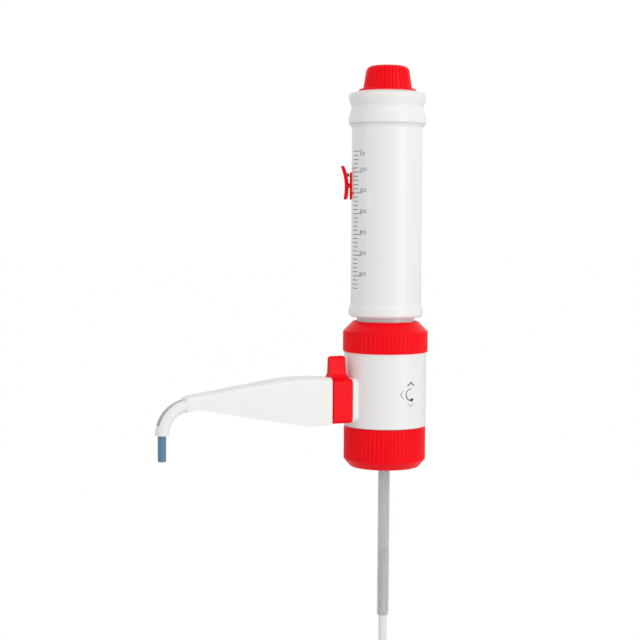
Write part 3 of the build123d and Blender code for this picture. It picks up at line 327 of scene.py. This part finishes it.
clear_fep = extruded_tube("clear FEP, extruded", "#E9EEEE", (0.10, 0.18), 0.75)
white_fep = extruded_tube("white PTFE tube, extruded", "#ECEBE6", (0.34, 0.44), 0.0)
blue_fep = extruded_tube("steel-blue FEP, extruded", "#6485A0", (0.30, 0.40), 0.0)
print("tubes:", clear_fep.name, "|", white_fep.name, "|", blue_fep.name)

# %% [markdown]
# ## Glass, ceramic, rubber and ink
# The cylinder is drawn borosilicate glass, smooth enough to need almost no texture, and the valve balls are
# ground alumina. The seals are black fluoro rubber: matte, with a fine grain of filler. The scale is
# screen-printed, and its ink is matte and slightly uneven in density.

# %% Glass, ceramic and rubber
glass = new_material("borosilicate glass, drawn")
tree = glass.node_tree
place = add_node(tree, "ShaderNodeTexCoord").outputs["Object"]
haze = add_node(tree, "ShaderNodeTexNoise", {"Vector": place, "Scale": per_metre(20.0)})
rough = add_node(tree, "ShaderNodeMapRange", {"Value": haze.outputs[0], "To Min": 0.0, "To Max": 0.05})
body = add_node(tree, "ShaderNodeBsdfPrincipled", {
    "Base Color": linear("#F6FBFA"), "Roughness": rough.outputs[0], "IOR": 1.47, "Transmission Weight": 1.0,
})
add_node(tree, "ShaderNodeOutputMaterial", {"Surface": body.outputs[0]})

alumina = moulded_plastic("alumina ceramic, ground", "#F0ECE2", "#E9E5DA", (0.08, 0.14), 0.5, 0.001, IOR=1.76)
fluoro_rubber = moulded_plastic("black fluoro rubber, moulded", "#2B2C2E", "#242527", (0.55, 0.7), 0.4,
                                0.012, IOR=1.42)
print("others:", glass.name, "|", alumina.name, "|", fluoro_rubber.name)

# %% Screen ink
def screen_ink(name, dense, thin):
    """Matte ink whose density drifts a little, with the fine grain that the mesh of the screen leaves."""
    return moulded_plastic(name, dense, thin, (0.5, 0.62), 0.3, 0.004, IOR=1.45, Specular_IOR_Level=0.3)


black_ink = screen_ink("black screen ink", "#1E1F22", "#2E2F33")
scale_ink = screen_ink("scale screen ink", "#4A4B50", "#5B5C61")
grey_ink = screen_ink("grey screen ink", "#9A9B9C", "#B0B1B2")
print("inks:", black_ink.name, "|", scale_ink.name, "|", grey_ink.name)

# %% [markdown]
# ## Finishes on the solids
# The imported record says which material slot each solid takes. One table turns slots into the finishes made
# above, so a solid that is added to the frame later gets its finish with no more code here.

# %% Finishes on the solids
FINISH_OF_SLOT = {
    "red_plastic": red_abs,
    "white_plastic": white_abs,
    "inner_plastic": natural_pp,
    "guard_plastic": pale_pc,
    "piston_plastic": turned_ptfe,
    "seal_rubber": fluoro_rubber,
    "clear_glass": glass,
    "clear_tube": clear_fep,
    "white_tube": white_fep,
    "blue_tube": blue_fep,
    "ball_ceramic": alumina,
    "steel": turned_steel,
}
for part in frame["record"]["subparts"]:
    solid = frame["nodes"][part["node"]]
    solid.data.materials.clear()
    solid.data.materials.append(FINISH_OF_SLOT[part["material_slot"]])

# %% [markdown]
# ## Geometry Nodes in a script
# A Geometry Nodes tree is a recipe with named inputs. One function makes an empty recipe with its inputs, and
# another runs it: it puts the recipe on an object, sets the inputs by their identifiers, turns the result
# into a plain mesh and takes the modifier off again.

# %% Make and run a recipe
def new_recipe(name, inputs):
    tree = bpy.data.node_groups.new(name, "GeometryNodeTree")
    for label, kind in inputs.items():
        tree.interface.new_socket(label, in_out="INPUT", socket_type=kind)
    tree.interface.new_socket("Geometry", in_out="OUTPUT", socket_type="NodeSocketGeometry")
    return tree, add_node(tree, "NodeGroupInput").outputs


def run_recipe(name, tree, values):
    holder = bpy.data.objects.new(name, bpy.data.meshes.new(name))
    bpy.context.scene.collection.objects.link(holder)
    modifier = holder.modifiers.new("recipe", "NODES")
    modifier.node_group = tree
    for item in tree.interface.items_tree:
        if item.in_out == "INPUT":
            modifier[item.identifier] = values[item.name]
    holder.update_tag()
    bpy.context.view_layer.update()
    evaluated = holder.evaluated_get(bpy.context.evaluated_depsgraph_get())
    mesh = bpy.data.meshes.new_from_object(evaluated)
    holder.modifiers.remove(modifier)
    holder.data = mesh
    return holder


# %% [markdown]
# ## The scale's lines
# The barrel carries 34 printed lines, and every fifth is longer. They are the same thin pad of ink, bent
# round the barrel, so a recipe fits: points down a line, a bar on each, and a rule that turns a bar's own
# left-to-right place into an angle and its depth into a distance from the axis. Each point keeps the angle
# at which its line ends, and the bar reads that after it has been made real.

# %% Recipe for the scale's lines
lines_tree, given = new_recipe("scale lines", {
    "Count": "NodeSocketInt",
    "Spacing": "NodeSocketFloat",
    "Top": "NodeSocketFloat",
    "Long Every": "NodeSocketInt",
    "Barrel Radius": "NodeSocketFloat",
    "Start Angle": "NodeSocketFloat",
    "Short End": "NodeSocketFloat",
    "Long End": "NodeSocketFloat",
    "Line Width": "NodeSocketFloat",
    "Ink Thickness": "NodeSocketFloat",
    "Ink": "NodeSocketMaterial",
})
t = lines_tree
top = add_node(t, "ShaderNodeCombineXYZ", {"Z": given["Top"]})
down = add_node(t, "ShaderNodeMath", {0: given["Spacing"], 1: -1.0}, operation="MULTIPLY")
step = add_node(t, "ShaderNodeCombineXYZ", {"Z": down.outputs[0]})
row = add_node(t, "GeometryNodeMeshLine", {
    "Count": given["Count"], "Start Location": top.outputs[0], "Offset": step.outputs[0],
}, mode="OFFSET")
place_in_row = add_node(t, "GeometryNodeInputIndex")
after_long = add_node(t, "ShaderNodeMath", {0: place_in_row.outputs[0], 1: given["Long Every"]},
                      operation="MODULO")
is_short = add_node(t, "ShaderNodeMath", {0: after_long.outputs[0], 1: 0.5}, operation="GREATER_THAN")
ends_at = add_node(t, "GeometryNodeSwitch", {
    "Switch": is_short.outputs[0], "False": given["Long End"], "True": given["Short End"],
}, input_type="FLOAT")
marked = add_node(t, "GeometryNodeStoreNamedAttribute", {
    "Geometry": row.outputs[0], "Name": "ends_at", "Value": ends_at.outputs[0],
}, data_type="FLOAT", domain="POINT")
bar_size = add_node(t, "ShaderNodeCombineXYZ", {"X": 1.0, "Y": 1.0, "Z": given["Line Width"]})
bar = add_node(t, "GeometryNodeMeshCube", {"Size": bar_size.outputs[0], "Vertices X": 8})
bars = add_node(t, "GeometryNodeInstanceOnPoints", {"Points": marked.outputs[0], "Instance": bar.outputs[0]})
real = add_node(t, "GeometryNodeRealizeInstances", {"Geometry": bars.outputs[0]})
own = add_node(t, "ShaderNodeSeparateXYZ", {0: add_node(t, "GeometryNodeInputPosition").outputs[0]})
end = add_node(t, "GeometryNodeInputNamedAttribute", {"Name": "ends_at"}, data_type="FLOAT")
angle = add_node(t, "ShaderNodeMapRange", {
    "Value": own.outputs["X"], "From Min": -0.5, "From Max": 0.5,
    "To Min": given["Start Angle"], "To Max": end.outputs[0],
})
out_by = add_node(t, "ShaderNodeMapRange", {
    "Value": own.outputs["Y"], "From Min": 0.5, "From Max": -0.5,
    "To Min": 0.0, "To Max": given["Ink Thickness"],
})
radius = add_node(t, "ShaderNodeMath", {0: given["Barrel Radius"], 1: out_by.outputs[0]}, operation="ADD")
cosine = add_node(t, "ShaderNodeMath", {0: angle.outputs[0]}, operation="COSINE")
sine = add_node(t, "ShaderNodeMath", {0: angle.outputs[0]}, operation="SINE")
x = add_node(t, "ShaderNodeMath", {0: radius.outputs[0], 1: cosine.outputs[0]}, operation="MULTIPLY")
y = add_node(t, "ShaderNodeMath", {0: radius.outputs[0], 1: sine.outputs[0]}, operation="MULTIPLY")
bent = add_node(t, "ShaderNodeCombineXYZ", {"X": x.outputs[0], "Y": y.outputs[0], "Z": own.outputs["Z"]})
moved = add_node(t, "GeometryNodeSetPosition", {"Geometry": real.outputs[0], "Position": bent.outputs[0]})
inked = add_node(t, "GeometryNodeSetMaterial", {"Geometry": moved.outputs[0], "Material": given["Ink"]})
add_node(t, "NodeGroupOutput", {"Geometry": inked.outputs[0]})
print("recipe nodes:", len(t.nodes))

# %% Lines on the barrel
BARREL_R = 24.1 * MM
SCALE_TOP = 196.5 * MM
LINE_SPACING = 2.8 * MM
LINE_COUNT = 34
LONG_EVERY = 5
SCALE_START_DEG = 170.3
SHORT_END_DEG = 186.7
LONG_END_DEG = 196.3
LINE_WIDTH = 0.42 * MM
INK_T = 0.03 * MM

scale_lines = run_recipe("scale_lines", lines_tree, {
    "Count": LINE_COUNT,
    "Spacing": LINE_SPACING,
    "Top": SCALE_TOP,
    "Long Every": LONG_EVERY,
    "Barrel Radius": BARREL_R,
    "Start Angle": math.radians(SCALE_START_DEG),
    "Short End": math.radians(SHORT_END_DEG),
    "Long End": math.radians(LONG_END_DEG),
    "Line Width": LINE_WIDTH,
    "Ink Thickness": INK_T,
    "Ink": scale_ink,
})
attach(scale_lines, "sleeve")
print("scale lines:", LINE_COUNT, "faces:", len(scale_lines.data.polygons))

# %% [markdown]
# ## Figures and arrows round a barrel
# Print on a round wall is easiest to make flat and then bend: what was left to right becomes an angle, what
# was up stays up, and the ink's thickness points outward. The same function bends the scale's figures, which
# start as text, and the arrows on the valve housing, which start as strokes.

# %% Bend flat print round the axis
def bend_round(mesh, radius, angle_deg, height):
    """Flat print, with X to the right, Y up and Z out of the wall, goes round an upright barrel."""
    start = math.radians(angle_deg)
    for vertex in mesh.vertices:
        turn = start + vertex.co.x / radius
        out = radius + vertex.co.z
        vertex.co = (out * math.cos(turn), out * math.sin(turn), height + vertex.co.y)


def mesh_piece(name, vertices, faces, material):
    mesh = bpy.data.meshes.new(name)
    mesh.from_pydata(vertices, [], faces)
    mesh.materials.append(material)
    piece = bpy.data.objects.new(name, mesh)
    bpy.context.scene.collection.objects.link(piece)
    return piece


print("10 mm of print take", round(math.degrees(10 * MM / BARREL_R), 1), "degrees of the barrel")

# %% Figures of the scale
FIGURE_SIZE = 3.5 * MM
FIGURE_START_DEG = 191.5
FIGURE_RISE = 0.45 * MM
FIRST_FIGURE_DROP = 3.1 * MM
VOLUME_STEP = 10

for index in range(LINE_COUNT // LONG_EVERY + 1):
    figure_data = bpy.data.curves.new(f"figure_{index}", "FONT")
    figure_data.body = f"{index * VOLUME_STEP}.0"
    figure_data.size = FIGURE_SIZE
    figure_data.extrude = INK_T / 2
    figure_data.resolution_u = 4
    text = bpy.data.objects.new(f"figure_{index}_text", figure_data)
    bpy.context.scene.collection.objects.link(text)
    bpy.context.view_layer.update()
    figure_mesh = bpy.data.meshes.new_from_object(text.evaluated_get(bpy.context.evaluated_depsgraph_get()))
    bpy.data.objects.remove(text)
    line_z = SCALE_TOP - index * LONG_EVERY * LINE_SPACING
    rise = FIGURE_RISE if index else -FIRST_FIGURE_DROP
    bend_round(figure_mesh, BARREL_R + INK_T / 2, FIGURE_START_DEG, line_z + rise)
    figure_mesh.materials.clear()
    figure_mesh.materials.append(scale_ink)
    figure = bpy.data.objects.new(f"scale_figure_{index * VOLUME_STEP}", figure_mesh)
    bpy.context.scene.collection.objects.link(figure)
    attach(figure, "sleeve")
print("figures:", LINE_COUNT // LONG_EVERY + 1)

# %% [markdown]
# ## Arrows for the valve
# Beside the outlet, the housing shows how the valve knob turns: a round arrow with a chevron above, one to
# its left and a paler one below. All are made of strokes, so one function lays a ribbon of ink along a line
# of points and closes it into a thin solid.

# %% Strokes of ink
HOUSING_R = 28.2 * MM
LEGEND_DEG = 278.5
LEGEND_Z = 33.2 * MM
LEGEND_R = 7.2 * MM


def ink_stroke(name, points, widths, material):
    """A closed ribbon along flat points (x, y), as wide as widths says at each, bent onto the housing."""
    sides = []
    for i, (px, py) in enumerate(points):
        before = Vector(points[max(i - 1, 0)])
        after = Vector(points[min(i + 1, len(points) - 1)])
        along = (after - before).normalized()
        reach = Vector((-along.y, along.x)) * widths[i] / 2
        sides.append((Vector((px, py)) + reach, Vector((px, py)) - reach))
    vertices = [(p.x, p.y, z) for left, right in sides for p in (left, right) for z in (0, INK_T)]
    faces = [(0, 1, 3, 2), tuple(4 * (len(points) - 1) + k for k in (0, 2, 3, 1))]
    for i in range(len(points) - 1):
        a, b = 4 * i, 4 * i + 4
        faces += [(a + 1, b + 1, b + 3, a + 3), (a, a + 2, b + 2, b)]
        faces += [(a, b, b + 1, a + 1), (a + 2, a + 3, b + 3, b + 2)]
    piece = mesh_piece(name, vertices, [tuple(reversed(f)) for f in faces], material)
    bend_round(piece.data, HOUSING_R, LEGEND_DEG, LEGEND_Z)
    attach(piece, "housing")


print("legend", round(HOUSING_R * (math.radians(LEGEND_DEG) - CAMERA_TURN) / MM, 1), "mm right of the middle")

# %% Chevrons
CHEVRON_HALF = 2.9 * MM
CHEVRON_RISE = 2.6 * MM
CHEVRON_POINTS = 7
CHEVRON_TIP = 0.55      # share of the rise that lies past the legend's circle
CHEVRON_SWEEP = 0.62    # under 1, the arms curve back from the tip


def chevron(name, direction_deg, width, material):
    """A bracket-shaped arrow that points away from the legend's centre."""
    turn = math.radians(direction_deg)
    points = []
    for i in range(-CHEVRON_POINTS, CHEVRON_POINTS + 1):
        share = i / CHEVRON_POINTS
        out = LEGEND_R + CHEVRON_RISE * (CHEVRON_TIP - abs(share) ** CHEVRON_SWEEP)
        side = -share * CHEVRON_HALF
        x = out * math.cos(turn) - side * math.sin(turn)
        y = out * math.sin(turn) + side * math.cos(turn)
        points.append((x, y))
    ink_stroke(name, points, [width] * len(points), material)


chevron("arrow_up", 90, 0.75 * MM, black_ink)
chevron("arrow_left", 180, 0.4 * MM, scale_ink)
chevron("arrow_down", 270, 0.5 * MM, grey_ink)
print("chevrons: 3")

# %% Round arrow
ARC_R = 3.9 * MM
ARC_FROM_DEG = 82
ARC_TO_DEG = 272
ARC_STEPS = 24
HEAD_LENGTH = 2.9 * MM
HEAD_WIDTH = 2.9 * MM
HEAD_TURN_DEG = 16
HEAD_OVERLAP = 0.1 * MM
ARC_THIN = 0.45 * MM
ARC_THICK = 0.80 * MM

arc = []
for i in range(ARC_STEPS + 1):
    turn = math.radians(ARC_FROM_DEG + (ARC_TO_DEG - ARC_FROM_DEG) * i / ARC_STEPS)
    arc.append((ARC_R * math.cos(turn), ARC_R * math.sin(turn)))
arc_widths = [ARC_THIN + (ARC_THICK - ARC_THIN) * i / ARC_STEPS for i in range(ARC_STEPS + 1)]
ink_stroke("arrow_round", arc, arc_widths, black_ink)
tip_turn = math.radians(ARC_TO_DEG + 90 + HEAD_TURN_DEG)
tip_way = Vector((math.cos(tip_turn), math.sin(tip_turn)))
tip_start = Vector(arc[-1]) - tip_way * HEAD_OVERLAP
head = [tuple(tip_start + tip_way * HEAD_LENGTH * share) for share in (0, 0.33, 0.66, 1)]
ink_stroke("arrow_round_head", head, [HEAD_WIDTH * share for share in (1, 0.67, 0.34, 0.02)], black_ink)
print("round arrow turns", ARC_TO_DEG - ARC_FROM_DEG, "degrees")

# %% [markdown]
# ## The thread in the union nut
# The nut grips a bottle by a coarse thread that CAD leaves as a plain wall. A thread is a bar that follows a
# helix, so the recipe starts from one straight bar with many cuts along it. A cut's place along the bar
# gives its angle and height, and the bar narrows from the wall to its crest. The depth fades at both ends,
# as a moulded thread runs out into the wall.

# %% Recipe for a thread
END_DEPTH = 0.05        # share of the depth that is left at the ends, so that the bar stays a solid

thread_tree, given = new_recipe("inner thread", {
    "Wall Radius": "NodeSocketFloat",
    "Depth": "NodeSocketFloat",
    "Pitch": "NodeSocketFloat",
    "Turns": "NodeSocketFloat",
    "Cuts": "NodeSocketInt",
    "Middle": "NodeSocketFloat",
    "Root Width": "NodeSocketFloat",
    "Crest Width": "NodeSocketFloat",
    "Run Out": "NodeSocketFloat",
    "Finish": "NodeSocketMaterial",
})
t = thread_tree
bar = add_node(t, "GeometryNodeMeshCube", {"Size": (1.0, 1.0, 1.0), "Vertices X": given["Cuts"]})
own = add_node(t, "ShaderNodeSeparateXYZ", {0: add_node(t, "GeometryNodeInputPosition").outputs[0]})
inward = add_node(t, "ShaderNodeMath", {0: own.outputs["Y"], 1: 0.5}, operation="ADD")
off_middle = add_node(t, "ShaderNodeMath", {0: own.outputs["X"]}, operation="ABSOLUTE")
to_end = add_node(t, "ShaderNodeMath", {0: 0.5, 1: off_middle.outputs[0]}, operation="SUBTRACT")
fade = add_node(t, "ShaderNodeMapRange", {
    "Value": to_end.outputs[0], "From Min": 0.0, "From Max": given["Run Out"],
    "To Min": END_DEPTH, "To Max": 1.0,
})
turns_done = add_node(t, "ShaderNodeMath", {0: own.outputs["X"], 1: given["Turns"]}, operation="MULTIPLY")
angle = add_node(t, "ShaderNodeMath", {0: turns_done.outputs[0], 1: math.tau}, operation="MULTIPLY")
depth = add_node(t, "ShaderNodeMath", {0: given["Depth"], 1: fade.outputs[0]}, operation="MULTIPLY")
reach = add_node(t, "ShaderNodeMath", {0: depth.outputs[0], 1: inward.outputs[0]}, operation="MULTIPLY")
radius = add_node(t, "ShaderNodeMath", {0: given["Wall Radius"], 1: reach.outputs[0]}, operation="SUBTRACT")
width = add_node(t, "ShaderNodeMapRange", {
    "Value": inward.outputs[0], "To Min": given["Root Width"], "To Max": given["Crest Width"],
})
off_line = add_node(t, "ShaderNodeMath", {0: own.outputs["Z"], 1: width.outputs[0]}, operation="MULTIPLY")
climb = add_node(t, "ShaderNodeMath", {0: turns_done.outputs[0], 1: given["Pitch"]}, operation="MULTIPLY")
height = add_node(t, "ShaderNodeMath", {0: climb.outputs[0], 1: off_line.outputs[0]}, operation="ADD")
height = add_node(t, "ShaderNodeMath", {0: height.outputs[0], 1: given["Middle"]}, operation="ADD")
cosine = add_node(t, "ShaderNodeMath", {0: angle.outputs[0]}, operation="COSINE")
sine = add_node(t, "ShaderNodeMath", {0: angle.outputs[0]}, operation="SINE")
x = add_node(t, "ShaderNodeMath", {0: radius.outputs[0], 1: cosine.outputs[0]}, operation="MULTIPLY")
y = add_node(t, "ShaderNodeMath", {0: radius.outputs[0], 1: sine.outputs[0]}, operation="MULTIPLY")
wound = add_node(t, "ShaderNodeCombineXYZ", {"X": x.outputs[0], "Y": y.outputs[0], "Z": height.outputs[0]})
moved = add_node(t, "GeometryNodeSetPosition", {"Geometry": bar.outputs[0], "Position": wound.outputs[0]})
real = add_node(t, "GeometryNodeRealizeInstances", {"Geometry": moved.outputs[0]})
done = add_node(t, "GeometryNodeSetMaterial", {"Geometry": real.outputs[0], "Material": given["Finish"]})
add_node(t, "NodeGroupOutput", {"Geometry": done.outputs[0]})
print("recipe nodes:", len(t.nodes))

# %% Thread in the nut
NUT_WALL_R = 22.8 * MM
THREAD_PITCH = 4.0 * MM
THREAD_TURNS = 3.25
THREAD_DEPTH = 1.35 * MM
THREAD_MIDDLE = -9.3 * MM
THREAD_ROOT = 2.5 * MM
THREAD_CREST = 0.9 * MM
THREAD_SUNK = 0.05 * MM     # foot of the thread inside the wall
THREAD_RUN_OUT = 0.06       # share of the thread's length, at each end
CUTS_PER_TURN = 96

nut_thread = run_recipe("nut_thread", thread_tree, {
    "Wall Radius": NUT_WALL_R + THREAD_SUNK,
    "Depth": THREAD_DEPTH,
    "Pitch": THREAD_PITCH,
    "Turns": THREAD_TURNS,
    "Cuts": int(CUTS_PER_TURN * THREAD_TURNS),
    "Middle": THREAD_MIDDLE,
    "Root Width": THREAD_ROOT,
    "Crest Width": THREAD_CREST,
    "Run Out": THREAD_RUN_OUT,
    "Finish": red_abs,
})
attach(nut_thread, "bottle_nut")
print("thread faces:", len(nut_thread.data.polygons))
